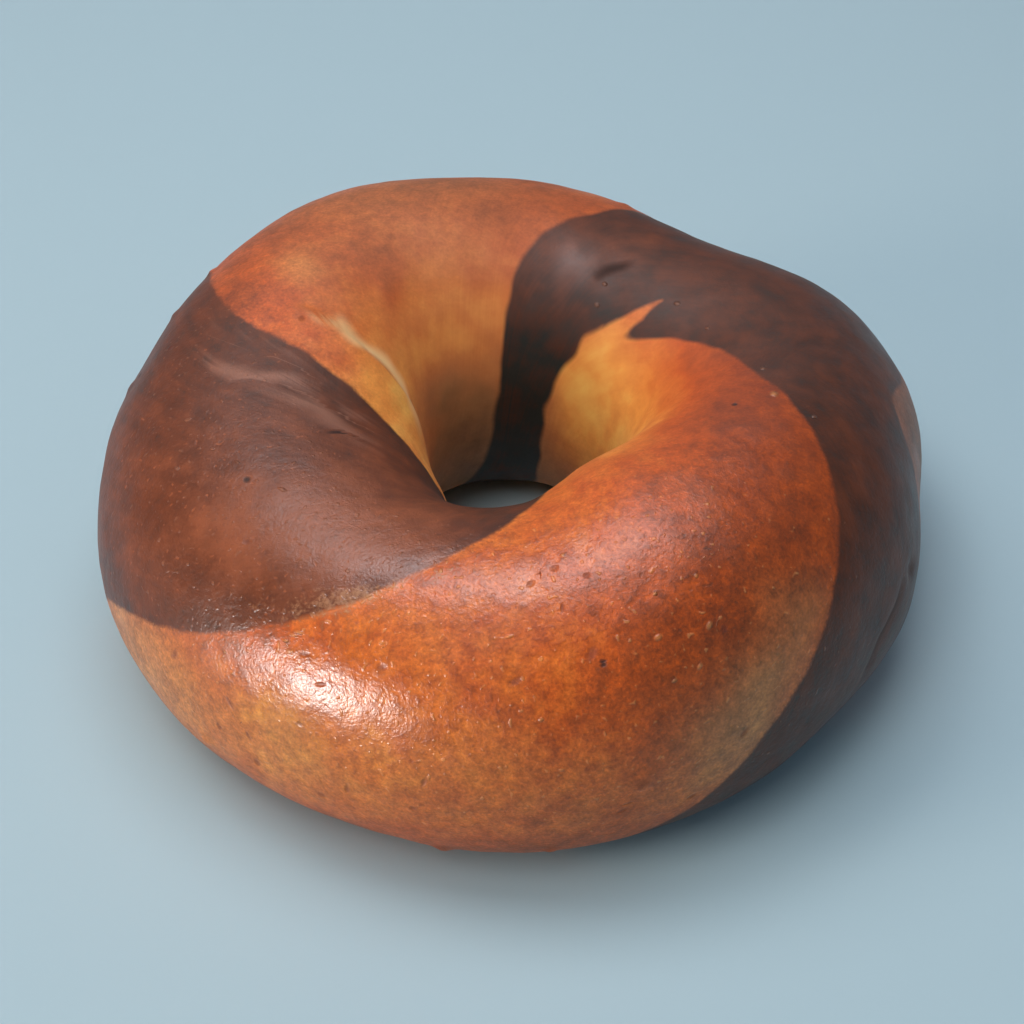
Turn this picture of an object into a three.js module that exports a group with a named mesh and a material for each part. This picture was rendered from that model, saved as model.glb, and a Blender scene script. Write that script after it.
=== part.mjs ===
import * as THREE from 'three';

// A bagel, boiled and baked: one closed ring of bread, rolled by hand from a pale and a dark dough.
// It lies flat on its base. Millimetres, +Z up, front towards -Y. Angles are in degrees:
// "around" runs anticlockwise round the ring from +X, and "over" runs over the roll of dough,
// 0 at the outside, 90 at the crown, 180 in the hole and 270 under the base.

// Every 30 degrees round the ring: how far the crust reaches from the ring's centre,
// the radius of the hole, and how high the crown stands.
const ringSizes = [
  { reach: 54.5, hole: 12.5, crown: 41.5 }, // right
  { reach: 58.0, hole: 13.5, crown: 39.0 },
  { reach: 54.0, hole: 14.5, crown: 38.5 },
  { reach: 58.5, hole: 15.0, crown: 41.0 }, // back
  { reach: 60.0, hole: 15.5, crown: 42.5 },
  { reach: 57.0, hole: 14.0, crown: 43.5 },
  { reach: 57.0, hole: 11.5, crown: 41.5 }, // left
  { reach: 56.5, hole: 11.0, crown: 41.0 },
  { reach: 54.5, hole: 13.5, crown: 40.0 },
  { reach: 54.5, hole: 12.0, crown: 41.0 }, // front
  { reach: 53.5, hole: 9.5, crown: 44.0 },
  { reach: 53.5, hole: 10.0, crown: 43.5 },
];

const waistShare = 0.45; // level of the roll's widest point, as a share of the crown
const topFullness = 2.1; // power of the upper oval: 2 is an ellipse, more is squarer
const baseFullness = 2.4; // power of the lower oval
const baseSink = 1.05; // depth of the lower oval, as a share of the waist; the excess is pressed flat
const footFade = 4.0; // relief dies away over this height above the flat base

// Round swellings and dents that rolling and proving left in the crust: height and spread in mm.
const swellings = [
  { around: 342, over: -8, height: 0.7, spread: 7 },
  { around: 357, over: 6, height: -0.5, spread: 5 },
  { around: 10, over: 20, height: 0.5, spread: 6 },
  { around: 48, over: 48, height: -0.4, spread: 6 },
  { around: 73, over: 56, height: 0.5, spread: 5 },
  { around: 98, over: 54, height: -0.3, spread: 7 },
  { around: 124, over: 54, height: 0.4, spread: 7 },
  { around: 164, over: 33, height: -0.5, spread: 6 },
  { around: 196, over: -3, height: 0.4, spread: 7 },
  { around: 321, over: -30, height: -0.5, spread: 6 },
  { around: 66, over: 106, height: -0.7, spread: 2.5 },
  { around: 57, over: 118, height: 0.5, spread: 6 },
];

// The lip: at the back left the pale dough folds over the rim of the hole and drops away sharply.
const lip = {
  path: [
    { around: 159, over: 94 },
    { around: 162, over: 112 },
    { around: 165.5, over: 128 },
    { around: 167, over: 146 },
    { around: 171, over: 166 },
  ],
  height: 1.5,
  crustSide: 4.5, // spread on the side of the crust
  holeSide: 1.3, // spread on the side of the hole
};

const stepsAround = 96;
const stepsOver = 42;
const crustColour = 0xb8673a;

const degree = Math.PI / 180;

const wrapped = (angle) => ((((angle + 180) % 360) + 360) % 360) - 180;

const signedPower = (value, power) => Math.sign(value) * Math.abs(value) ** power;

// Reads one of the ring's sizes at any angle, on a smooth closed curve through the twelve given.
function sizeAt(name, around) {
  const count = ringSizes.length;
  const place = ((((around / 360) * count) % count) + count) % count;
  const first = Math.floor(place);
  const t = place - first;
  const [a, b, c, d] = [-1, 0, 1, 2].map((step) => ringSizes[(first + step + count) % count][name]);
  return b + 0.5 * t * (c - a + t * (2 * a - 5 * b + 4 * c - d + t * (3 * (b - c) + d - a)));
}

// A point of the plain roll: two half ovals that meet at the waist, the lower one pressed flat.
function rollPoint(around, over) {
  const reach = sizeAt('reach', around);
  const hole = sizeAt('hole', around);
  const crown = sizeAt('crown', around);
  const waist = waistShare * crown;
  const power = 2 / (Math.sin(over * degree) >= 0 ? topFullness : baseFullness);
  const out = signedPower(Math.cos(over * degree), power);
  const up = signedPower(Math.sin(over * degree), power);
  const radius = (reach + hole) / 2 + ((reach - hole) / 2) * out;
  const height = waist + up * (up >= 0 ? crown - waist : waist * baseSink);
  return new THREE.Vector3(
    radius * Math.cos(around * degree),
    radius * Math.sin(around * degree),
    Math.max(height, 0),
  );
}

function rollNormal(around, over) {
  const nudge = 0.5;
  const alongRing = rollPoint(around + nudge, over).sub(rollPoint(around - nudge, over));
  const overRoll = rollPoint(around, over + nudge).sub(rollPoint(around, over - nudge));
  return alongRing.cross(overRoll).normalize();
}

// Millimetres along the ring and over the roll from one place on the crust to another.
function crustOffset(from, to) {
  const tubeRadius = (sizeAt('reach', from.around) - sizeAt('hole', from.around)) / 2;
  const start = rollPoint(from.around, from.over);
  return new THREE.Vector2(
    wrapped(to.around - from.around) * degree * Math.hypot(start.x, start.y),
    wrapped(to.over - from.over) * degree * tubeRadius,
  );
}

function swellingHeight(place) {
  let height = 0;
  for (const swelling of swellings) {
    const distance = crustOffset(swelling, place).length();
    height += swelling.height * Math.exp(-((distance / swelling.spread) ** 2) / 2);
  }
  return height;
}

// The lip is highest halfway along its path, and steeper towards the hole than towards the crust.
function lipHeight(place) {
  let nearest = { distance: Infinity, share: 0, side: 1 };
  for (let i = 0; i + 1 < lip.path.length; i += 1) {
    const run = crustOffset(lip.path[i], lip.path[i + 1]);
    const offset = crustOffset(lip.path[i], place);
    const share = THREE.MathUtils.clamp(offset.dot(run) / run.lengthSq(), 0, 1);
    const distance = offset.distanceTo(run.clone().multiplyScalar(share));
    if (distance < nearest.distance) {
      nearest = { distance, share: (i + share) / (lip.path.length - 1), side: run.cross(offset) };
    }
  }
  const spread = nearest.side > 0 ? lip.holeSide : lip.crustSide;
  const rise = Math.sin(Math.PI * nearest.share);
  return lip.height * rise * Math.exp(-((nearest.distance / spread) ** 2) / 2);
}

function crustPoint(around, over) {
  const point = rollPoint(around, over);
  const place = { around, over };
  const fade = THREE.MathUtils.smoothstep(point.z, 0, footFade);
  const relief = fade * (swellingHeight(place) + lipHeight(place));
  point.addScaledVector(rollNormal(around, over), relief);
  point.z = Math.max(point.z, 0);
  return point;
}

// The crust is one grid that closes on itself both round the ring and over the roll.
function bagelGeometry() {
  const points = [];
  const faces = [];
  for (let i = 0; i < stepsAround; i += 1) {
    for (let j = 0; j < stepsOver; j += 1) {
      points.push(crustPoint((360 * i) / stepsAround, (360 * j) / stepsOver));
      const here = i * stepsOver + j;
      const above = i * stepsOver + ((j + 1) % stepsOver);
      const nextHere = ((i + 1) % stepsAround) * stepsOver + j;
      const nextAbove = ((i + 1) % stepsAround) * stepsOver + ((j + 1) % stepsOver);
      faces.push(here, nextHere, nextAbove, here, nextAbove, above);
    }
  }
  const geometry = new THREE.BufferGeometry().setFromPoints(points);
  geometry.setIndex(faces);
  geometry.computeBoundingBox();
  const middle = geometry.boundingBox.getCenter(new THREE.Vector3());
  geometry.translate(-middle.x, -middle.y, 0);
  geometry.computeVertexNormals();
  return geometry;
}

const crust = new THREE.MeshStandardMaterial({ color: crustColour, roughness: 0.5, metalness: 0 });
const bagel = new THREE.Mesh(bagelGeometry(), crust);
bagel.name = 'bagel';

const part = new THREE.Group();
part.add(bagel);

export default part;
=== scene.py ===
import math

import bpy
import numpy as np
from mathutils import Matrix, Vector, noise


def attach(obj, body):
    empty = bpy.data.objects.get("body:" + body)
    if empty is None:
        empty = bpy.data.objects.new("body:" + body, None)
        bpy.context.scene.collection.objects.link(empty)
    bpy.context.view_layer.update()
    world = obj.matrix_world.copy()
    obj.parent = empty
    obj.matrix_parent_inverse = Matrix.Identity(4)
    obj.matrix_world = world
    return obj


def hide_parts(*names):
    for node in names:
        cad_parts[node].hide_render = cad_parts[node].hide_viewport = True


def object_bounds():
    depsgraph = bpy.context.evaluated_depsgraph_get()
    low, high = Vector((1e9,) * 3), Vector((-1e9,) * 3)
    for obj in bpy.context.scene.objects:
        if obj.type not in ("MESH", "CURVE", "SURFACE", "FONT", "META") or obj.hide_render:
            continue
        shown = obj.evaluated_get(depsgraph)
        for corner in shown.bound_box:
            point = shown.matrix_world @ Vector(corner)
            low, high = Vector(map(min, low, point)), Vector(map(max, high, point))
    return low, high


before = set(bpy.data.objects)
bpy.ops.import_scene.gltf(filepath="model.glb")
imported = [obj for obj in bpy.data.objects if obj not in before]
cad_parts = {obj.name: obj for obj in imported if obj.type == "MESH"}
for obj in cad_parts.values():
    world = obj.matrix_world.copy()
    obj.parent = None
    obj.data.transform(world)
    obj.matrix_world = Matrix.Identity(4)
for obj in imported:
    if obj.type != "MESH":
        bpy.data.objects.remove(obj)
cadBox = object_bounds()
print("frame loaded")

mm = 0.001
degree = math.pi / 180
farAway = 1e9  # mm

# Angles are in degrees: around runs anticlockwise round the ring from the right, and over runs over
# the roll of dough, 0 at the outside, 90 at the crown, 180 in the hole and 270 under the base.
ring = {  # sizes in mm, every 30 degrees round the ring
    "reach": [54.5, 58.0, 54.0, 58.5, 60.0, 57.0, 57.0, 56.5, 54.5, 54.5, 53.5, 53.5],
    "hole": [12.5, 13.5, 14.5, 15.0, 15.5, 14.0, 11.5, 11.0, 13.5, 12.0, 9.5, 10.0],
    "crown": [41.5, 39.0, 38.5, 41.0, 42.5, 43.5, 41.5, 41.0, 40.0, 41.0, 44.0, 43.5],
    "waistShare": 0.45,  # level of the widest point, as a share of the crown
    "topFullness": 2.1,  # power of the upper oval
    "baseFullness": 2.4,  # power of the lower oval
    "baseSink": 1.05,  # depth of the lower oval, as a share of the waist; the excess is pressed flat
    "footFade": 4.0,  # relief dies away over this height above the flat base
    "solidSteps": (96, 42),  # the steps of the CAD solid, which place the ring in the frame
    "crustSteps": (576, 172),  # the steps of the fine crust
}


def wrapped(angle):
    return (angle + 180) % 360 - 180


def signedPower(value, power):
    return np.sign(value) * np.abs(value) ** power


def sizeAt(name, around):  # a smooth closed curve through the twelve sizes
    sizes = np.array(ring[name])
    place = around / 360 * len(sizes)
    first = np.floor(place).astype(int)
    t = place - first
    a, b, c, d = [sizes[(first + step) % len(sizes)] for step in (-1, 0, 1, 2)]
    return b + 0.5 * t * (c - a + t * (2 * a - 5 * b + 4 * c - d + t * (3 * (b - c) + d - a)))


def rollPoints(around, over):  # two half ovals that meet at the waist, the lower one pressed flat
    reach, hole, crown = [sizeAt(name, around) for name in ("reach", "hole", "crown")]
    waist = ring["waistShare"] * crown
    upper = np.sin(over * degree) >= 0
    power = 2 / np.where(upper, ring["topFullness"], ring["baseFullness"])
    out = signedPower(np.cos(over * degree), power)
    up = signedPower(np.sin(over * degree), power)
    radius = (reach + hole) / 2 + (reach - hole) / 2 * out
    height = waist + up * np.where(upper, crown - waist, waist * ring["baseSink"])
    turn = around * degree
    return np.stack([radius * np.cos(turn), radius * np.sin(turn), np.maximum(height, 0)], -1)


def rollNormals(around, over):
    nudge = 0.5  # degrees
    alongRing = rollPoints(around + nudge, over) - rollPoints(around - nudge, over)
    overRoll = rollPoints(around, over + nudge) - rollPoints(around, over - nudge)
    normals = np.cross(alongRing, overRoll)
    return normals / np.linalg.norm(normals, axis=-1, keepdims=True)


def crustOffset(start, around, over):  # mm along the ring and over the roll from a place on the crust
    startAround, startOver = np.array(start[0], float), np.array(start[1], float)
    tube = (sizeAt("reach", startAround) - sizeAt("hole", startAround)) / 2
    place = rollPoints(startAround, startOver)
    alongRing = wrapped(around - startAround) * degree * math.hypot(place[0], place[1])
    return alongRing, wrapped(over - startOver) * degree * tube


def pathOffset(path, around, over):  # distance from a path on the crust, share along it, and side
    nearest = np.full(around.shape, farAway)
    share = np.zeros(around.shape)
    side = np.zeros(around.shape)
    for i in range(len(path) - 1):
        runX, runY = crustOffset(path[i], *path[i + 1][:2])
        x, y = crustOffset(path[i], around, over)
        t = np.clip((x * runX + y * runY) / (runX**2 + runY**2), 0, 1)
        distance = np.hypot(x - t * runX, y - t * runY)
        closer = distance < nearest
        nearest = np.where(closer, distance, nearest)
        share = np.where(closer, (i + t) / (len(path) - 1), share)
        side = np.where(closer, runX * y - runY * x, side)
    return nearest, share, side


# Round swellings and dents that rolling and proving left: around, over, height and spread in mm.
swellings = [
    (342, -8, 0.7, 7),
    (357, 6, -0.5, 5),
    (10, 20, 0.5, 6),
    (48, 48, -0.4, 6),
    (73, 56, 0.5, 5),
    (98, 54, -0.3, 7),
    (124, 54, 0.4, 7),
    (164, 33, -0.5, 6),
    (196, -3, 0.4, 7),
    (321, -30, -0.5, 6),
    (66, 106, -0.7, 2.5),
    (57, 118, 0.5, 6),
]

lip = {  # at the back left the pale dough folds over the rim of the hole and drops away sharply
    "path": [(159, 94), (162, 112), (165.5, 128), (167, 146), (171, 166)],
    "height": 1.5,
    "crustSide": 4.5,  # spread in mm on the side of the crust
    "holeSide": 1.3,  # spread in mm on the side of the hole
}


def bump(distance, spread):
    return np.exp(-((distance / spread) ** 2) / 2)


def mainRelief(around, over):
    height = np.zeros(around.shape)
    for spotAround, spotOver, rise, spread in swellings:
        x, y = crustOffset((spotAround, spotOver), around, over)
        height += rise * bump(np.hypot(x, y), spread)
    distance, share, side = pathOffset(lip["path"], around, over)
    spread = np.where(side > 0, lip["holeSide"], lip["crustSide"])
    return height + lip["height"] * np.sin(math.pi * share) * bump(distance, spread)


def smoothstep(value, low, high):
    t = np.clip((value - low) / (high - low), 0, 1)
    return t * t * (3 - 2 * t)


def raised(around, over, relief):  # the roll with its relief, which stays off the flat base
    points = rollPoints(around, over)
    fade = smoothstep(points[..., 2], 0, ring["footFade"])
    points = points + rollNormals(around, over) * (fade * relief)[..., None]
    points[..., 2] = np.maximum(points[..., 2], 0)
    return points


def gridAngles(steps):
    around, over = [np.arange(count) * 360.0 / count for count in steps]
    return np.meshgrid(around, over, indexing="ij")


solidGrid = gridAngles(ring["solidSteps"])
solidPoints = raised(*solidGrid, mainRelief(*solidGrid)).reshape(-1, 3)
ringShift = (solidPoints.min(0) + solidPoints.max(0)) / 2 * (1, 1, 0)

around, over = gridAngles(ring["crustSteps"])
plainPoints = rollPoints(around, over)

# The dark dough lies between two edges that wind twice over the roll as they go once round the ring.
doughs = {  # (around, over) of each edge; both go on past 360 degrees
    "begin": [
        (202, 4), (210, 14), (222, 28), (234, 48), (242, 63), (254, 86), (267, 107), (276, 121),
        (290, 160), (305, 215), (322, 285), (338, 345), (350, 370), (354, 385), (357, 396),
        (360, 402), (363, 405), (366, 402), (370, 394), (376, 389), (395, 388), (415, 402),
        (428, 416), (434, 441), (443, 457), (451, 477), (456, 497), (460, 521), (468, 552),
        (480, 590), (505, 630), (530, 670), (550, 705),
    ],
    "end": [
        (148, 46), (157, 64), (165, 81), (171, 101), (178, 116), (186, 128), (197, 139), (216, 149),
        (236, 185), (256, 240), (276, 300), (290, 334), (300, 355), (312, 376), (323, 400),
        (334, 421), (346, 441), (360, 458), (377, 470), (391, 478), (402, 486), (412, 491),
        (420, 494), (426, 503), (432, 514), (437, 528), (439, 543), (442, 575), (458, 640),
        (475, 680), (492, 725),
    ],
    "smoothing": 2.0,  # degrees round the ring over which the edges are rounded
    "wander": (0.35, 3.0),  # mm by which the edges wander, and over what length in mm
    "deepest": 12.0,  # mm from an edge beyond which the dough is the same
    "joint": 1.2,  # mm over which the tongue joins the pale dough
    # A pale tongue licks into the dark where the ring was joined: around, over, half width in mm.
    "tongue": [
        (45.8, 108.5, 0.1), (48.7, 118, 0.9), (51.7, 125, 1.3), (54.8, 131.5, 1.8), (58, 138, 2.4),
    ],
}


def edgeAt(knots, around):  # over, where the edge crosses each place round the ring
    knots = np.array(knots, float)
    line = np.concatenate([knots + (360 * turn, 720 * turn) for turn in (-2, -1, 0, 1)])
    step, reach = 0.25, 40  # degrees between the samples, and how many each side are averaged
    places = np.arange(0, 360, step)
    offset = np.interp(places, line[:, 0], line[:, 1]) - 2 * places
    weights = bump(np.arange(-reach, reach + 1) * step, doughs["smoothing"])
    padded = np.concatenate([offset[-reach:], offset, offset[:reach]])
    offset = np.convolve(padded, weights / weights.sum(), "valid")
    return np.interp(around, places, offset, period=360) + 2 * around


leastSlope = 0.5  # per mm, where the angles over the roll hardly change


def surfaceSlope(value, points):  # how fast a value changes over the crust, per mm
    slopes = []
    for axis in (0, 1):
        rise = np.roll(value, -1, axis) - np.roll(value, 1, axis)
        run = np.linalg.norm(np.roll(points, -1, axis) - np.roll(points, 1, axis), axis=-1)
        slopes.append(rise / run)
    return np.hypot(*slopes)


def darkDepth(around, over, points):  # mm from the nearest edge, above 0 in the dark dough
    begin = edgeAt(doughs["begin"], around)
    width = (edgeAt(doughs["end"], around) - begin) % 360
    into = (over - begin) % 360
    inside = np.minimum(into, width - into)
    outside = np.minimum(into - width, 360 - into)
    depth = np.where(into < width, inside, -outside)
    depth = depth / np.maximum(surfaceSlope(depth, points), leastSlope)
    distance, share = pathOffset(doughs["tongue"], around, over)[:2]
    halfWidths = [knot[2] for knot in doughs["tongue"]]
    outside = distance - np.interp(share, np.linspace(0, 1, len(halfWidths)), halfWidths)
    soft = doughs["joint"]
    overlap = np.clip(soft - abs(depth - outside), 0, None) / soft
    return np.minimum(depth, outside) - overlap**2 * soft / 4  # the lesser, with a rounded corner


depth = darkDepth(around, over, plainPoints)
print("doughs wound")

# Marks are told by around, over, length and width in mm, and turn in degrees away from along the ring.
marks = {
    "reach": 3.0,  # no mark tells on the crust farther away than this, in half widths
    "tones": {"pits": -1.0, "pocks": -0.5, "flecks": 1.0},
    "pocks": [  # small burst bubbles and scabs, darker than the crust
        (276, 81, 1.0, 0.9, 0), (271.5, 77, 1.1, 0.8, 30), (281.5, 75, 0.9, 0.8, 0),
        (280, 50, 1.8, 1.2, 60), (269, 45, 1.7, 0.9, 20), (300, 42, 0.9, 0.9, 0),
        (250, 45, 1.2, 1.0, 0), (238.5, 41, 1.3, 0.6, 20), (242, 33.5, 1.3, 0.5, 20),
        (218.5, 14.5, 1.7, 0.9, 70), (229, 11.5, 1.9, 0.6, -50), (232, 2, 1.3, 0.6, -50),
        (233, -7.5, 1.2, 0.8, 90), (247, -1.5, 1.2, 0.7, 80), (243, -9, 1.2, 0.9, 0),
        (240, 17, 0.9, 0.6, 0), (227, -1, 0.9, 0.6, 0), (257.5, 8.5, 1.4, 0.6, 70),
        (256, -2.5, 0.9, 0.6, 0), (283, -6, 1.4, 0.6, 20), (285.5, 3, 1.8, 1.5, 0),
        (300.5, 6.5, 1.5, 0.8, 30), (293, -10.5, 1.3, 0.7, 20), (169.5, 55.5, 1.0, 0.8, 60),
        (162, 100.5, 1.1, 0.9, 0), (220.5, 63, 1.1, 0.7, 30), (276.5, 66.5, 1.2, 0.5, 80),
    ],
    "pits": [  # small holes, painted nearly black with the shade inside them
        (210, 76.5, 1.0, 0.9, 0), (170, 37.5, 0.9, 0.8, 0), (344.5, 100.5, 0.8, 0.7, 0),
        (281.5, 45.5, 0.75, 0.6, 0),
    ],
    "flecks": [  # grains and blisters, paler than the crust
        (205, 77, 0.75, 0.38, 20), (216.5, 83, 1.2, 0.45, 20), (249, 53, 0.68, 0.52, 0),
        (290, 48, 0.98, 0.68, 0), (298, 45, 1.0, 0.7, 40), (295, 34.5, 0.83, 0.52, 30),
        (291, 33.5, 0.7, 0.4, 0), (272.5, 32, 0.6, 0.52, 0), (275, 14, 0.68, 0.45, 0),
        (288, 10.5, 0.52, 0.45, 0), (299, 60.5, 0.52, 0.52, 0), (291.5, 61, 0.6, 0.45, 0),
        (268, 59.5, 1.05, 0.45, 10), (199, 59, 0.9, 0.45, 30), (64, 112, 0.68, 0.6, 0),
        (63.5, 121.5, 0.75, 0.68, 0), (41.5, 107, 0.9, 0.68, 0), (1.5, 95, 0.68, 0.68, 0),
        (350.5, 90, 1.12, 0.83, 20), (346, 75, 0.6, 0.6, 0), (27.5, 108, 0.6, 0.52, 0),
        (236.5, 47, 1.2, 0.45, 10), (235, 42.5, 0.9, 0.38, 10),
    ],
}

# Thin lines where the doughs were stretched: half width and rise in mm, tone above 0 is paler and tone
# below 0 paints the shade of a crease.
strands = [
    {
        "path": [(161, 66), (166.6, 72.4), (169.4, 84.4), (173.4, 99.2), (178, 109.2), (185, 117.6)],
        "halfWidth": 0.8, "rise": 0.05, "tone": 0.4,
    },
    {
        "path": [
            (170.6, 63.2), (176.8, 74), (180, 82.8), (181.8, 90.4), (182.4, 99), (185.4, 106.8),
            (190.2, 113.2),
        ],
        "halfWidth": 1.5, "rise": 0.1, "tone": 0.7,
    },
    {
        "path": [
            (183.2, 87.2), (187.4, 96.4), (191.2, 103.6), (197, 109.2), (205, 116), (213, 125.6),
        ],
        "halfWidth": 2.0, "rise": 0.1, "tone": 0.65,
    },
    {
        "path": [(186, 111), (193.4, 119), (196.8, 129.6)],
        "halfWidth": 1.2, "rise": 0.05, "tone": 0.5,
    },
    {
        "path": [(203.8, 105.5), (202.8, 110), (203.8, 114), (207.5, 117)],
        "halfWidth": 0.5, "rise": -0.14, "tone": -1.0,
    },
    # The pale line along the lip is paler dough with a painted highlight where the fold catches the
    # light.
    {
        "path": [
            (160.4, 98), (160, 106), (158.4, 113.6), (160.6, 121), (159.8, 127.2), (157.4, 135.6),
            (158, 141), (161.5, 145.3), (166, 148.5), (170.5, 151), (174.5, 153.5), (179, 155.5),
        ],
        "halfWidth": 1.7, "rise": 0.12, "tone": 0.9,
    },
    {
        "path": [(230, 42), (238, 56), (246, 71), (254, 86), (261, 98), (267, 107)],
        "halfWidth": 0.8, "rise": -0.12, "tone": 0.35,
    },
    {
        "path": [(68.5, 113), (67, 109.5), (64.5, 105), (61.6, 100), (59, 96)],
        "halfWidth": 0.9, "rise": -0.1, "tone": -0.8,
    },
    {
        "path": [(338, 14), (334, 6), (329, 1), (324, -11)],
        "halfWidth": 0.7, "rise": -0.35, "tone": -0.6,
    },
]
strandShape = {
    "ends": 0.02,  # share of its length, at each end, where a strand fades no further
    "taper": 0.6,  # power by which it fades towards its ends
    "wander": (0.45, 3.5),  # half widths by which it wanders, and over what length in mm
    "reach": 3.0,  # no strand tells on the crust farther away than this, in half widths
    "spread": 0.9,  # of its rise, in half widths
}

waves = [(14.0, 0.2), (5.0, 0.09), (2.2, 0.035)]  # size and height of the uneven crust, mm
nubs = [  # small bumps: around, over, height and spread in mm
    (157.3, 40.5, 0.3, 0.7), (170, 30.5, 0.28, 0.7), (148, 46.5, 0.35, 0.6), (71, 58, 0.3, 0.8),
    (259, -35.5, 0.5, 0.8), (274, -29.5, 0.4, 0.7), (223.5, -13, 0.5, 0.8), (285.5, 3, 0.45, 0.8),
    (339.5, 10, -0.5, 0.7), (67, 106, 0.65, 2.4),
]


def noiseAt(points, size):
    values = [noise.noise(Vector(point) / size) for point in points.reshape(-1, 3)]
    return np.array(values).reshape(points.shape[:-1])


def markField(around, over):  # offsets from the nearest mark, where its edge is at 1, and its tone
    nearest = np.full(around.shape, farAway)
    fields = np.zeros(around.shape + (3,))
    for kind, tone in marks["tones"].items():
        for spotAround, spotOver, length, width, turn in marks[kind]:
            x, y = crustOffset((spotAround, spotOver), around, over)
            c, s = math.cos(turn * degree), math.sin(turn * degree)
            along, across = (x * c + y * s) / (length / 2), (y * c - x * s) / (width / 2)
            closer = np.hypot(along, across) < nearest
            nearest = np.where(closer, np.hypot(along, across), nearest)
            offsets = np.stack([along, across, np.full(around.shape, tone)], -1)
            fields = np.where(closer[..., None], offsets, fields)
    fields[..., 2] *= nearest < marks["reach"]
    return fields


def strandField(around, over):  # place across the nearest strand, with its edge at 1, tone and rise
    nearest = np.full(around.shape, farAway)
    fields = np.zeros(around.shape + (3,))
    for strand in strands:
        distance, share, side = pathOffset(strand["path"], around, over)
        across = distance / strand["halfWidth"]
        ends = strandShape["ends"]
        fade = np.sin(math.pi * np.clip(share, ends, 1 - ends)) ** strandShape["taper"]
        values = np.stack([across * np.sign(side), strand["tone"] * fade, strand["rise"] * fade], -1)
        closer = across < nearest
        nearest = np.where(closer, across, nearest)
        fields = np.where(closer[..., None], values, fields)
    amount, size = strandShape["wander"]
    fields[..., 0] += amount * noiseAt(plainPoints, size)
    fields[..., 1] *= nearest < strandShape["reach"]
    return fields


markOffsets = markField(around, over)
strandOffsets = strandField(around, over)


def smallRelief(around, over, points):
    height = strandOffsets[..., 2] * bump(strandOffsets[..., 0], strandShape["spread"])
    for size, rise in waves:
        height += rise * noiseAt(points, size)
    for spotAround, spotOver, rise, spread in nubs:
        x, y = crustOffset((spotAround, spotOver), around, over)
        height += rise * bump(np.hypot(x, y), spread)
    return height


relief = mainRelief(around, over) + smallRelief(around, over, plainPoints)
crustPoints = (raised(around, over, relief) - ringShift) * mm
crustPoints = np.clip(crustPoints, np.array(cadBox[0]), np.array(cadBox[1]))
print("crust shaped")


def closedGrid(name, points):  # a mesh whose grid closes on itself both ways, with its own map
    rows, columns = points.shape[:2]
    index = np.arange(rows * columns).reshape(rows, columns)
    nextRow = np.roll(index, -1, 0)
    corners = [index, nextRow, np.roll(nextRow, -1, 1), np.roll(index, -1, 1)]
    faces = np.stack(corners, -1).reshape(-1, 4)
    mesh = bpy.data.meshes.new(name)
    mesh.from_pydata(points.reshape(-1, 3).tolist(), [], faces.tolist())
    mesh.polygons.foreach_set("use_smooth", np.ones(len(faces), bool))
    row, column = np.divmod(np.arange(len(faces)), columns)
    u = np.stack([row, row + 1, row + 1, row], -1) / rows
    v = np.stack([column, column, column + 1, column + 1], -1) / columns
    chart = mesh.uv_layers.new(name="OFBake")
    chart.data.foreach_set("uv", np.stack([u, v], -1).ravel())
    mesh.update()
    return mesh


def addNumbers(mesh, name, values):
    kind = "FLOAT" if values.ndim == 2 else "FLOAT_VECTOR"
    item = "value" if values.ndim == 2 else "vector"
    layer = mesh.attributes.new(name, kind, "POINT")
    layer.data.foreach_set(item, values.astype(np.float32).ravel())
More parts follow.
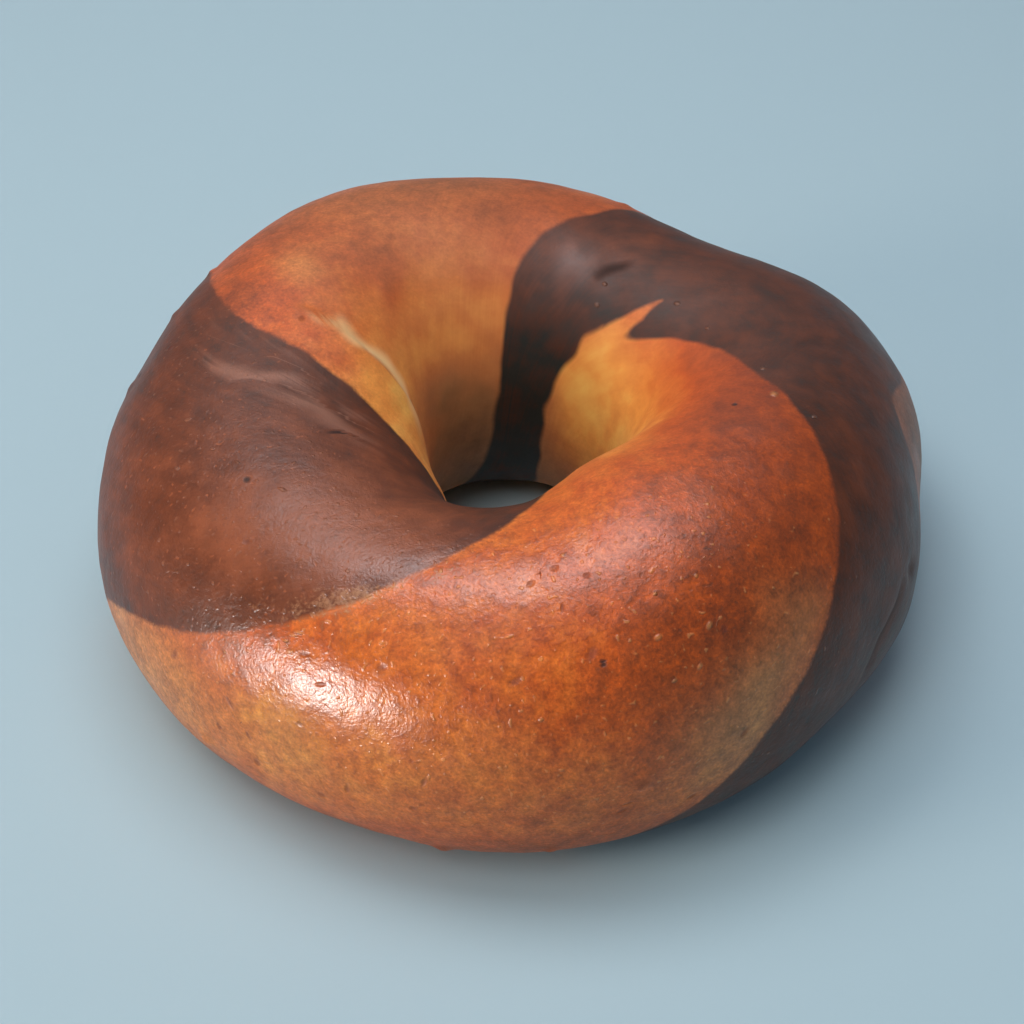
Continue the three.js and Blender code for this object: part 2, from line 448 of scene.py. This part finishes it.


# What the oven and the glaze did to the crust, with painted shade deep in the hole: levels by over, and
# spots of around, over, spread in mm and change of level.
bake = {
    "mottles": [(12.0, 0.5), (5.0, 0.45), (2.2, 0.4)],  # size in mm and strength
    "drift": (4.0, 8.0),  # mm by which a spot is pulled out of round, and over what length in mm
    "driftShifts": (0, 50),  # mm, so that the two directions drift apart
    "fullDrift": 6.0,  # mm of spread from which a spot drifts fully
    "mottling": {"paleBrowning": 0.15, "darkBrowning": 0.14, "tan": 0.1, "roughness": 0.1},
    "paleBrowning": {  # 0 is unbaked dough, 1 is dark brown
        "byRoll": [
            (-90, 0.55), (-30, 0.66), (-10, 0.55), (0, 0.55), (20, 0.57), (40, 0.6), (60, 0.58),
            (80, 0.57), (100, 0.5), (120, 0.37), (140, 0.19), (160, 0.06), (180, 0.1), (230, 0.3),
            (270, 0.45),
        ],
        "spots": [
            (306, 34, 13, 0.2), (333, 70, 10, 0.08), (306, 68, 6, -0.06), (345, 98, 12, 0.18),
            (300, 46, 11, 0.08), (215, -8, 9, -0.08), (270, 2, 9, -0.06), (264, 17, 6, -0.04),
            (267, 32, 4, -0.06), (237, 9, 9, -0.1), (229, 34, 5, 0.08), (271, 43, 6, 0.05),
            (10, 113, 9, 0.2), (32, 128, 7, 0.08), (250, 12, 12, -0.08), (291, -4, 12, -0.06),
            (236, 15, 4, -0.1), (262, 62, 7, -0.06), (268, -32, 10, 0.1), (4, 140, 6, -0.05),
            (90, 78, 14, 0.08), (160, 80, 10, 0.02), (165, 92, 9, 0.02), (145, 90, 2.6, -0.22),
            (150, 84, 2.0, -0.1), (128, 88, 3.0, -0.06), (132, 111, 3.0, 0.14), (133, 125, 2.5, 0.1),
            # The spots at (115, 190) and (120, 172) deepen the browning deep in the hole as painted
            # shade.
            (172, 113, 1.6, 0.12), (150, 72, 12, 0.11), (168, 140, 6, -0.14), (115, 190, 12, 0.6),
            (120, 172, 9, 0.16), (305, 20, 4.5, -0.14), (311, 34, 3.5, -0.1), (298, 8, 5, -0.1),
            (314, 40, 4, -0.09), (88, 112, 8, 0.08), (4, 26, 8, 0.2), (62, 150, 7, -0.1),
            (285, 122, 6, 0.1),
        ],
    },
    "darkBrowning": {
        # Falling to 0 deep in the hole, this takes the dark dough to the near-black grey low end of its
        # colours, painted shade.
        "byRoll": [
            (-90, 0.3), (-20, 0.32), (20, 0.37), (60, 0.4), (100, 0.4), (120, 0.32), (140, 0.14),
            (160, 0.03), (180, 0), (230, 0.1), (270, 0.3),
        ],
        "spots": [
            (198, 42, 16, 0.18), (214, 66, 10, 0.18), (230, 74, 8, 0.26), (224, 86, 9, 0.1),
            (243, 94, 7, 0.36), (186, 94, 5, 0.06), (207, 108, 6, -0.06), (214, 126, 8, 0.26),
            (165, 75, 10, 0.06), (76, 102, 6, 0.1), (48, 92, 6, 0.04),
        ],
    },
    "tan": {  # share of dull tan where the crust was pressed or shaded in the oven; its spots deep in the hole paint shade there
        "byRoll": [
            (-90, 0.4), (-40, 0.12), (0, 0.2), (25, 0.06), (60, 0.04), (150, 0), (170, 0.04),
            (190, 0.2), (270, 0.5),
        ],
        "spots": [
            (118, 188, 11, 1.0), (124, 170, 9, 0.2), (208, -6, 14, 0.6), (298, 7, 5, 0.5),
            (304, 16, 4.5, 0.45), (308, 26, 3.5, 0.4), (316, 34, 3, 0.3), (312, 36, 3, 0.25),
            (4, 26, 8, 0.5), (110, 52, 20, 0.4), (125, 90, 14, 0.1), (238, 10, 4, 0.2),
            (145, 90, 3, 0.2),
        ],
    },
    "blisters": {  # how strongly the crust is pitted, specked and mottled
        "byRoll": [
            (-90, 0.6), (-30, 0.75), (10, 0.9), (90, 0.85), (115, 0.55), (135, 0.25), (160, 0.2),
            (230, 0.4), (270, 0.6),
        ],
        "spots": [
            (130, 95, 24, -0.16), (70, 90, 16, -0.4), (25, 60, 18, -0.4), (268, 45, 18, 0.25),
            (240, 58, 9, 0.2), (240, 32, 9, -0.3), (295, 55, 10, 0.15), (205, 55, 18, 0.5),
            (345, 60, 12, -0.3),
        ],
    },
    "flour": {  # flour left in the seam between the doughs, 0 to 1
        "byRoll": [(-90, 0), (270, 0)],
        "spots": [
            (229, 47, 1.2, 0.3), (234, 52, 1.3, 0.4), (237.5, 58, 1.3, 0.5), (241, 64, 1.3, 0.5),
            (244, 68.5, 1.3, 0.5), (248.5, 74, 1.3, 0.5), (254.5, 81.5, 1.2, 0.45),
            (259.5, 87.6, 1.1, 0.4), (265, 94, 1.0, 0.3), (234, 64, 4, 0.12), (243, 56, 4, 0.12),
            (226, 44, 3, 0.12),
        ],
    },
    "roughness": {
        "byRoll": [
            (-90, 0.5), (-30, 0.45), (0, 0.42), (40, 0.38), (80, 0.4), (120, 0.5), (160, 0.6),
            (270, 0.6),
        ],
        "spots": [
            (130, 95, 22, 0.14), (95, 80, 10, 0.18), (172, 92, 14, 0.14), (236, 12, 12, -0.08),
            (241, 33, 7, -0.1), (276, 74, 12, -0.04), (75, 105, 4, -0.24), (58, 98, 14, 0.16),
            (226, 78, 14, 0.07), (20, 85, 14, 0.08), (295, 66, 9, 0.1), (253, 84, 9, -0.05),
        ],
    },
}


driftAmount, driftSize = bake["drift"]
drifts = [driftAmount * noiseAt(plainPoints + shift, driftSize) for shift in bake["driftShifts"]]
mottles = sum(strength * noiseAt(plainPoints, size) for size, strength in bake["mottles"])


def bakeLevel(name, around, over):
    places, levels = zip(*bake[name]["byRoll"])
    level = np.interp((over + 90) % 360 - 90, places, levels)
    for spotAround, spotOver, spread, extra in bake[name]["spots"]:
        x, y = crustOffset((spotAround, spotOver), around, over)
        drift = min(spread / bake["fullDrift"], 1)
        level += extra * bump(np.hypot(x + drift * drifts[0], y + drift * drifts[1]), spread)
    return np.clip(level + bake["mottling"].get(name, 0) * mottles, 0, 1)


drawnDough = {"ringRadius": 34.0, "rollRadius": 21.0, "stretch": 7.0}  # mm, and times its width


def doughGrain(around, over):  # a place in dough that winds with its edges, stretched along the ring
    turn = around * degree
    wind = (over - edgeAt(doughs["begin"], around)) * degree
    along = drawnDough["ringRadius"] / drawnDough["stretch"]
    rollRadius = drawnDough["rollRadius"]
    parts = [along * np.cos(turn), along * np.sin(turn), rollRadius * np.cos(wind)]
    return np.stack(parts, -1), rollRadius * np.sin(wind)


crustMesh = closedGrid("bagelCrust", crustPoints)
wander, wanderSize = doughs["wander"]
depth = depth + wander * noiseAt(plainPoints, wanderSize)
addNumbers(crustMesh, "darkDepth", np.clip(depth, -doughs["deepest"], doughs["deepest"]))
for name in ("paleBrowning", "darkBrowning", "tan", "blisters", "flour", "roughness"):
    addNumbers(crustMesh, name, bakeLevel(name, around, over))
addNumbers(crustMesh, "markOffsets", markOffsets)
addNumbers(crustMesh, "strandOffsets", strandOffsets)
grain, grainTurn = doughGrain(around, over)
addNumbers(crustMesh, "grain", grain)
addNumbers(crustMesh, "grainTurn", grainTurn)
crust = bpy.data.objects.new("bagelCrust", crustMesh)
bpy.context.scene.collection.objects.link(crust)


class Wire:  # a shader socket that takes part in Python sums
    def __init__(self, finish, socket):
        self.finish = finish
        self.socket = socket

    def maths(self, operation, first, second):
        return self.finish.node("ShaderNodeMath", {"operation": operation}, {0: first, 1: second})

    def also(self, name):  # another output of the same node
        return Wire(self.finish, self.socket.node.outputs[name])

    def __add__(self, other):
        return self.maths("ADD", self, other)

    def __radd__(self, other):
        return self.maths("ADD", other, self)

    def __sub__(self, other):
        return self.maths("SUBTRACT", self, other)

    def __rsub__(self, other):
        return self.maths("SUBTRACT", other, self)

    def __mul__(self, other):
        return self.maths("MULTIPLY", self, other)

    def __rmul__(self, other):
        return self.maths("MULTIPLY", other, self)

    def __abs__(self):
        return self.maths("ABSOLUTE", self, 0.0)


class Finish:  # a material built from nodes
    def __init__(self, name):
        self.material = bpy.data.materials.new(name)
        self.material.use_nodes = True
        self.tree = self.material.node_tree
        self.tree.nodes.clear()

    def node(self, kind, settings=None, sockets=None, output=0):
        made = self.tree.nodes.new(kind)
        for name, value in (settings or {}).items():
            if name == "stops":
                self.setStops(made.color_ramp, value)
            else:
                setattr(made, name, value)
        for name, value in (sockets or {}).items():
            if isinstance(value, Wire):
                self.tree.links.new(value.socket, made.inputs[name])
            else:
                made.inputs[name].default_value = value
        return Wire(self, made.outputs[output]) if made.outputs else None

    def setStops(self, ramp, stops):
        while len(ramp.elements) < len(stops):
            ramp.elements.new(1)
        for element, (place, colour) in zip(ramp.elements, stops):
            element.position = place
            element.color = linear(colour)

    def number(self, name, output="Fac"):
        return self.node("ShaderNodeAttribute", {"attribute_name": name}, output=output)

    def parts(self, vector):
        first = self.node("ShaderNodeSeparateXYZ", {}, {"Vector": vector})
        return first, first.also("Y"), first.also("Z")

    def noise(self, size, detail, roughness=0.55):  # about -1 to 1, size in mm
        sockets = {"Vector": self.place(), "Scale": 1 / (size * mm)}
        sockets.update({"Detail": detail, "Roughness": roughness})
        return (self.node("ShaderNodeTexNoise", {}, sockets) - 0.5) * 2

    def shift(self, size):  # a vector whose parts are each about -1 to 1
        sockets = {"Vector": self.place(), "Scale": 1 / (size * mm), "Detail": 1.0}
        colour = self.node("ShaderNodeTexNoise", {}, sockets, "Color")
        return self.vector("SCALE", self.vector("SUBTRACT", colour, (0.5, 0.5, 0.5)), scale=2.0)

    def vector(self, operation, first, second=None, scale=None):
        sockets = {0: first}
        if second is not None:
            sockets[1] = second
        if scale is not None:
            sockets["Scale"] = scale
        return self.node("ShaderNodeVectorMath", {"operation": operation}, sockets)

    def streaks(self, size, detail, roughness):  # noise drawn out along the dough, size across it
        sockets = {"Vector": self.number("grain", "Vector"), "W": self.number("grainTurn")}
        sockets.update({"Scale": 1 / size, "Detail": detail, "Roughness": roughness})
        return (self.node("ShaderNodeTexNoise", {"noise_dimensions": "4D"}, sockets) - 0.5) * 2

    def place(self):
        return self.node("ShaderNodeTexCoord", output="Object")

    def step(self, value, low, high):  # 0 at low, 1 at high, smooth between
        settings = {"interpolation_type": "SMOOTHSTEP"}
        sockets = {"Value": value, "From Min": low, "From Max": high}
        return self.node("ShaderNodeMapRange", settings, sockets)

    def blend(self, share, first, second):
        settings = {"data_type": "RGBA", "blend_type": "MIX"}
        first, second = [c if isinstance(c, Wire) else linear(c) for c in (first, second)]
        return self.node("ShaderNodeMix", settings, {0: share, 6: first, 7: second}, 2)

    def ramp(self, value, stops):
        return self.node("ShaderNodeValToRGB", {"stops": stops}, {"Fac": value})

    def length(self, x, y):
        joined = self.node("ShaderNodeCombineXYZ", {}, {"X": x, "Y": y})
        return self.node("ShaderNodeVectorMath", {"operation": "LENGTH"}, {0: joined}, "Value")


def linear(colour):  # screen colour, 0 to 255, to the light values that shaders use
    shares = [part / 255 for part in colour]
    return [s / 12.92 if s <= 0.04045 else ((s + 0.055) / 1.055) ** 2.4 for s in shares] + [1.0]


crustLook = {
    "pale": [  # from unbaked to dark brown
        (0.0, (255, 200, 100)),
        (0.2, (242, 156, 68)),
        (0.4, (216, 114, 42)),
        (0.6, (194, 84, 24)),
        (0.8, (152, 62, 16)),
        (1.0, (112, 44, 16)),
    ],
    "tan": [  # the same where it is dull; its dark end paints shade deep in the hole
        (0.0, (226, 170, 100)),
        (0.5, (178, 124, 78)),
        (1.0, (104, 80, 56)),
    ],
    # The dark dough's colours; the near-black grey low end is painted shade deep in the hole.
    "dark": [
        (0.0, (38, 40, 36)),
        (0.3, (78, 40, 22)),
        (0.6, (108, 52, 24)),
        (1.0, (150, 78, 42)),
    ],
    "details": {"patches": 3.0, "coarse": 4.0, "fine": 2.0, "grain": 0.0, "streaks": 3.0},
    "roughGrain": 0.65,  # how strong the details of the coarse grain and the streaks are
    "patches": (3.6, 0.14, 0.32),  # size in mm, strength in the pale and dark doughs
    "coarse": (1.5, 0.58),  # size in mm and strength of the grain
    "fine": (0.42, 0.36),
    "browning": 0.22,  # how much of the grain changes the hue
    "shading": 1.0,  # and how much the lightness
    "darkMottles": 3.6,  # how much more uneven the dark dough is
    "streaks": (2.0, 0.07, 0.22),  # size in mm, strength in the pale and dark doughs
    "ragged": (0.2, 0.22),  # mm by which the edge between the doughs wanders, coarse and fine
    "edgeBlur": 0.45,  # mm each side of it
    "grain": 0.7,  # size in mm of the pimples and pits
    "pimples": (0.42, 0.74),  # grain at which a pimple begins and is whole
    "flourGrains": 0.3,  # how much sooner they begin in flour
    "flourRagged": 0.5,  # how much the grain breaks up the flour
    "flourEdge": (0.3, 0.9),  # flour at which it begins to show and is whole
    "flourColour": (226, 168, 112),
    "darkFlourColour": (204, 146, 104),
    "flourStrength": 0.55,
    "pimpleColour": (242, 166, 100),
    "darkPimpleColour": (166, 104, 72),
    "pimpleStrength": 0.36,
    "pitBrowning": 0.1,
    "pockColour": (104, 42, 26),
    # Painted shade: the near-black pit colour stands for the shade inside the small holes.
    "pitShadeColour": (46, 26, 20),
    "pockStrength": 0.5,
    "pitStrength": 0.4,  # added to it
    "pockDepth": 0.08,  # mm
    "fleckColour": (244, 176, 108),
    "darkFleckColour": (168, 112, 84),
    "fleckStrength": 0.3,
    "fleckRise": 0.14,  # mm
    "markRagged": 0.35,  # half widths by which the edges of marks wander
    "markEdge": (1.5, 0.3),  # half widths from the middle at which a mark begins and is whole
    "markSlope": (1.4, 0.3),  # the same for its height
    "pitTones": (-0.6, -0.9),  # tones at which a mark begins to be a pit and is one
    "pockTones": (-0.1, -0.4),
    "fleckTones": (0.2, 0.8),
    # The pale strand colour is paler dough; along the lip it also paints the highlight on the fold.
    "paleStrandAndLipHighlight": (250, 204, 142),
    "darkStrand": (158, 104, 82),
    "strandEdge": (1.3, 0.0),  # half widths from the middle at which a strand begins and is whole
    "threads": 1.5,  # how much the streaks split a strand into threads
    "threadTones": (0.3, 1.0),  # tones at which a strand begins to close up and has no gaps
    "threadEdge": (-0.3, 0.4),  # streaks at which a thread begins and is whole
    "strandTones": (0.0, 1.0),  # tones at which a strand begins to be pale and is fully so
    # Painted shade: the dark colour laid into creases stands for the shade inside them.
    "creaseShadeColour": (52, 28, 20),
    "creaseShadeTones": (-0.1, -1.0),  # tones at which a strand begins to take the painted shade of a crease and takes it fully
    "coarseRise": 0.062,  # mm
    "fineRise": 0.022,  # mm
    "pimpleRise": 0.06,  # mm
    "pitDepth": 0.025,  # mm
    "creaseRoughness": 0.3,
    "fineRoughness": 0.06,
    "pockRoughness": 0.2,
    "shine": 0.36,
    "haze": 0.03,  # the soft sheen of fine flour and fuzz at glancing angles
    "hazeColour": (200, 212, 224),
}


def crustFinish():
    finish = Finish("bagelCrust")
    look = crustLook
    blisters = finish.number("blisters")
    patches = finish.noise(look["patches"][0], look["details"]["patches"])
    coarse = finish.noise(look["coarse"][0], look["details"]["coarse"], look["roughGrain"])
    fine = finish.noise(look["fine"][0], look["details"]["fine"])
    grain = finish.noise(look["grain"], look["details"]["grain"])
    streak = finish.streaks(look["streaks"][0], look["details"]["streaks"], look["roughGrain"])
    ragged = (coarse * look["ragged"][0] + fine * look["ragged"][1]) * blisters
    dark = finish.step(finish.number("darkDepth") + ragged, -look["edgeBlur"], look["edgeBlur"])
    begins, whole = look["pimples"]
    sooner = finish.number("flour") * look["flourGrains"]
    pimple = finish.step(grain * blisters + sooner, begins, whole)
    pit = finish.step(grain * blisters, -begins, -whole)
    uneven = (coarse * look["coarse"][1] + fine * look["fine"][1]) * blisters
    mottle = uneven * look["browning"] + pit * look["pitBrowning"]
    paleTone = finish.number("paleBrowning") + mottle + patches * look["patches"][1]
    paleTone = paleTone + streak * look["streaks"][1]
    darkTone = finish.number("darkBrowning") + mottle * look["darkMottles"]
    darkTone = darkTone + patches * look["patches"][2] + streak * look["streaks"][2]
    paleColour = finish.ramp(paleTone, look["pale"])
    # Deep in the hole the dull tan ramp's dark end and the dark ramp's near-black end paint shade.
    tanAndHoleShadeColour = finish.ramp(paleTone, look["tan"])
    paleColour = finish.blend(finish.number("tan") + mottle, paleColour, tanAndHoleShadeColour)
    colour = finish.blend(dark, paleColour, finish.ramp(darkTone, look["dark"]))
    colour = finish.vector("SCALE", colour, scale=1 - uneven * look["shading"])
    pimpleColour = finish.blend(dark, look["pimpleColour"], look["darkPimpleColour"])
    colour = finish.blend(pimple * look["pimpleStrength"], colour, pimpleColour)
    broken = coarse * look["flourRagged"] + fine * look["flourRagged"]
    floury = finish.step(finish.number("flour") + broken, *look["flourEdge"])
    flourColour = finish.blend(dark, look["flourColour"], look["darkFlourColour"])
    colour = finish.blend(floury * look["flourStrength"], colour, flourColour)

    markX, markY, markTone = finish.parts(finish.number("markOffsets", "Vector"))
    shiftX, shiftY = finish.parts(finish.shift(look["fine"][0]))[:2]
    isPit = finish.step(markTone, *look["pitTones"])
    wander = look["markRagged"] * (1 - isPit)
    markDistance = finish.length(markX + shiftX * wander, markY + shiftY * wander)
    inMark = finish.step(markDistance, *look["markEdge"])
    isPock = finish.step(markTone, *look["pockTones"])
    isFleck = finish.step(markTone, *look["fleckTones"])
    pock = inMark * isPock
    # Pits take the near-black colour, painted shade inside the holes; pocks keep their own darker crust
    # colour.
    pockColour = finish.blend(isPit, look["pockColour"], look["pitShadeColour"])
    pockStrength = isPit * look["pitStrength"] + look["pockStrength"]
    colour = finish.blend(pock * pockStrength, colour, pockColour)
    fleckColour = finish.blend(dark, look["fleckColour"], look["darkFleckColour"])
    colour = finish.blend(inMark * isFleck * look["fleckStrength"], colour, fleckColour)

    across, strandTone = finish.parts(finish.number("strandOffsets", "Vector"))[:2]
    inStrand = finish.step(abs(across), *look["strandEdge"])
    closing = finish.step(strandTone, *look["threadTones"])
    threads = finish.step(streak * look["threads"] + closing, *look["threadEdge"])
    # Along the lip the pale strand colour paints the highlight on the fold as well as paler dough.
    strandColour = finish.blend(dark, look["paleStrandAndLipHighlight"], look["darkStrand"])
    isPale = finish.step(strandTone, *look["strandTones"])
    colour = finish.blend(inStrand * threads * isPale, colour, strandColour)
    # A strand with a tone below 0 is a crease, and its dark colour is painted shade.
    crease = inStrand * finish.step(strandTone, *look["creaseShadeTones"])
    colour = finish.blend(crease, colour, look["creaseShadeColour"])

    grains = coarse * look["coarseRise"] + fine * look["fineRise"]
    grains = grains + pimple * look["pimpleRise"] - pit * look["pitDepth"]
    plainMark = finish.step(finish.length(markX, markY), *look["markSlope"])
    markRise = isFleck * look["fleckRise"] - isPock * look["pockDepth"]
    height = grains * blisters + plainMark * markRise
    normal = finish.node("ShaderNodeBump", {}, {"Strength": 1.0, "Distance": mm, "Height": height})
    roughness = finish.number("roughness") + fine * look["fineRoughness"]
    roughness = roughness + pock * look["pockRoughness"] + crease * look["creaseRoughness"]
    sockets = {"Base Color": colour, "Roughness": roughness, "Normal": normal}
    sockets.update({"Specular IOR Level": look["shine"], "Sheen Weight": look["haze"]})
    sockets["Sheen Tint"] = linear(look["hazeColour"])
    shader = finish.node("ShaderNodeBsdfPrincipled", {}, sockets)
    finish.node("ShaderNodeOutputMaterial", {}, {"Surface": shader})
    return finish.material


crustMesh.materials.append(crustFinish())
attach(crust, "root")
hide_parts("bagel")
print("crust finished")

studio = {
    "floorColour": (179, 204, 215),
    "floorRoughness": 0.9,
    "floorShine": 0.2,
    "floorSize": 8.0,  # metres
    "floorDrop": 0.05,  # mm below the bagel
    "surroundings": (168, 188, 204),
    "surroundingsStrength": 0.38,
    # Each has its direction, distance in metres, width and height in metres, power in watts and colour.
    "lamps": {  # these light the crust and the floor
        "zenith": [(-0.03, 0.05, 1.0), 0.45, (0.3, 0.3), 0.66, (250, 251, 255)],
        "highLeft": [(-0.47, 0.14, 0.87), 1.2, (0.6, 0.6), 3.0, (255, 250, 244)],
        "highFront": [(-0.2, -0.42, 0.88), 1.2, (0.6, 0.6), 3.2, (255, 250, 244)],
        "lowLeft": [(-0.93, -0.3, 0.21), 0.9, (0.3, 0.3), 3.6, (255, 232, 208)],
    },
    "cards": {  # these show in the gloss only
        "overheadCard": [(-0.08, 0.31, 0.95), 1.0, (0.42, 0.42), 8.8, (242, 238, 242)],
        "frontLeftCard": [(-0.745, -0.655, 0.13), 0.9, (0.14, 0.22), 11.5, (255, 250, 246)],
        "backdropCard": [(0.0, 0.98, 0.18), 2.0, (4.0, 1.2), 2.5, (168, 188, 204)],
    },
}


def stageFloor():
    half = studio["floorSize"] / 2
    level = -studio["floorDrop"] * mm
    mesh = bpy.data.meshes.new("floor")
    corners = [(-half, -half, level), (half, -half, level), (half, half, level), (-half, half, level)]
    mesh.from_pydata(corners, [], [(0, 1, 2, 3)])
    floor = bpy.data.objects.new("floor", mesh)
    bpy.context.scene.collection.objects.link(floor)
    finish = Finish("floor")
    sockets = {"Base Color": linear(studio["floorColour"]), "Roughness": studio["floorRoughness"]}
    sockets["Specular IOR Level"] = studio["floorShine"]
    shader = finish.node("ShaderNodeBsdfPrincipled", {}, sockets)
    finish.node("ShaderNodeOutputMaterial", {}, {"Surface": shader})
    mesh.materials.append(finish.material)


def softLamp(name, toward, distance, size, power, colour):
    light = bpy.data.lights.new(name, "AREA")
    light.shape = "ELLIPSE"
    light.size, light.size_y = size
    light.energy = power
    light.color = linear(colour)[:3]
    lamp = bpy.data.objects.new(name, light)
    lamp.location = Vector(toward).normalized() * distance
    lamp.rotation_euler = Vector(toward).to_track_quat("Z", "Y").to_euler()
    bpy.context.scene.collection.objects.link(lamp)
    return lamp


def surroundingsLight():
    world = bpy.data.worlds.new("surroundings")
    world.use_nodes = True
    background = world.node_tree.nodes["Background"]
    background.inputs["Color"].default_value = linear(studio["surroundings"])
    background.inputs["Strength"].default_value = studio["surroundingsStrength"]
    bpy.context.scene.world = world


view = {
    "target": (-0.235, -3.716, 18.0),  # mm
    "distance": 330.0,
    "elevation": 43.0,
    "lens": 85.2,
    "sensor": 36.0,
    "nearest": 0.01,  # metres; nothing closer shows
}


def addCamera():
    data = bpy.data.cameras.new("camera")
    data.lens = view["lens"]
    data.sensor_width = view["sensor"]
    data.clip_start = view["nearest"]
    camera = bpy.data.objects.new("camera", data)
    slope = view["elevation"] * degree
    back = Vector((0, -math.cos(slope), math.sin(slope)))
    camera.location = (Vector(view["target"]) + back * view["distance"]) * mm
    camera.rotation_euler = (math.pi / 2 - slope, 0, 0)
    bpy.context.scene.collection.objects.link(camera)
    bpy.context.scene.camera = camera


stageFloor()
surroundingsLight()
for name, settings in studio["lamps"].items():
    softLamp(name, *settings).visible_glossy = False
for name, settings in studio["cards"].items():
    softLamp(name, *settings).visible_diffuse = False
addCamera()
bpy.context.scene.view_settings.view_transform = "Standard"
print("studio set")
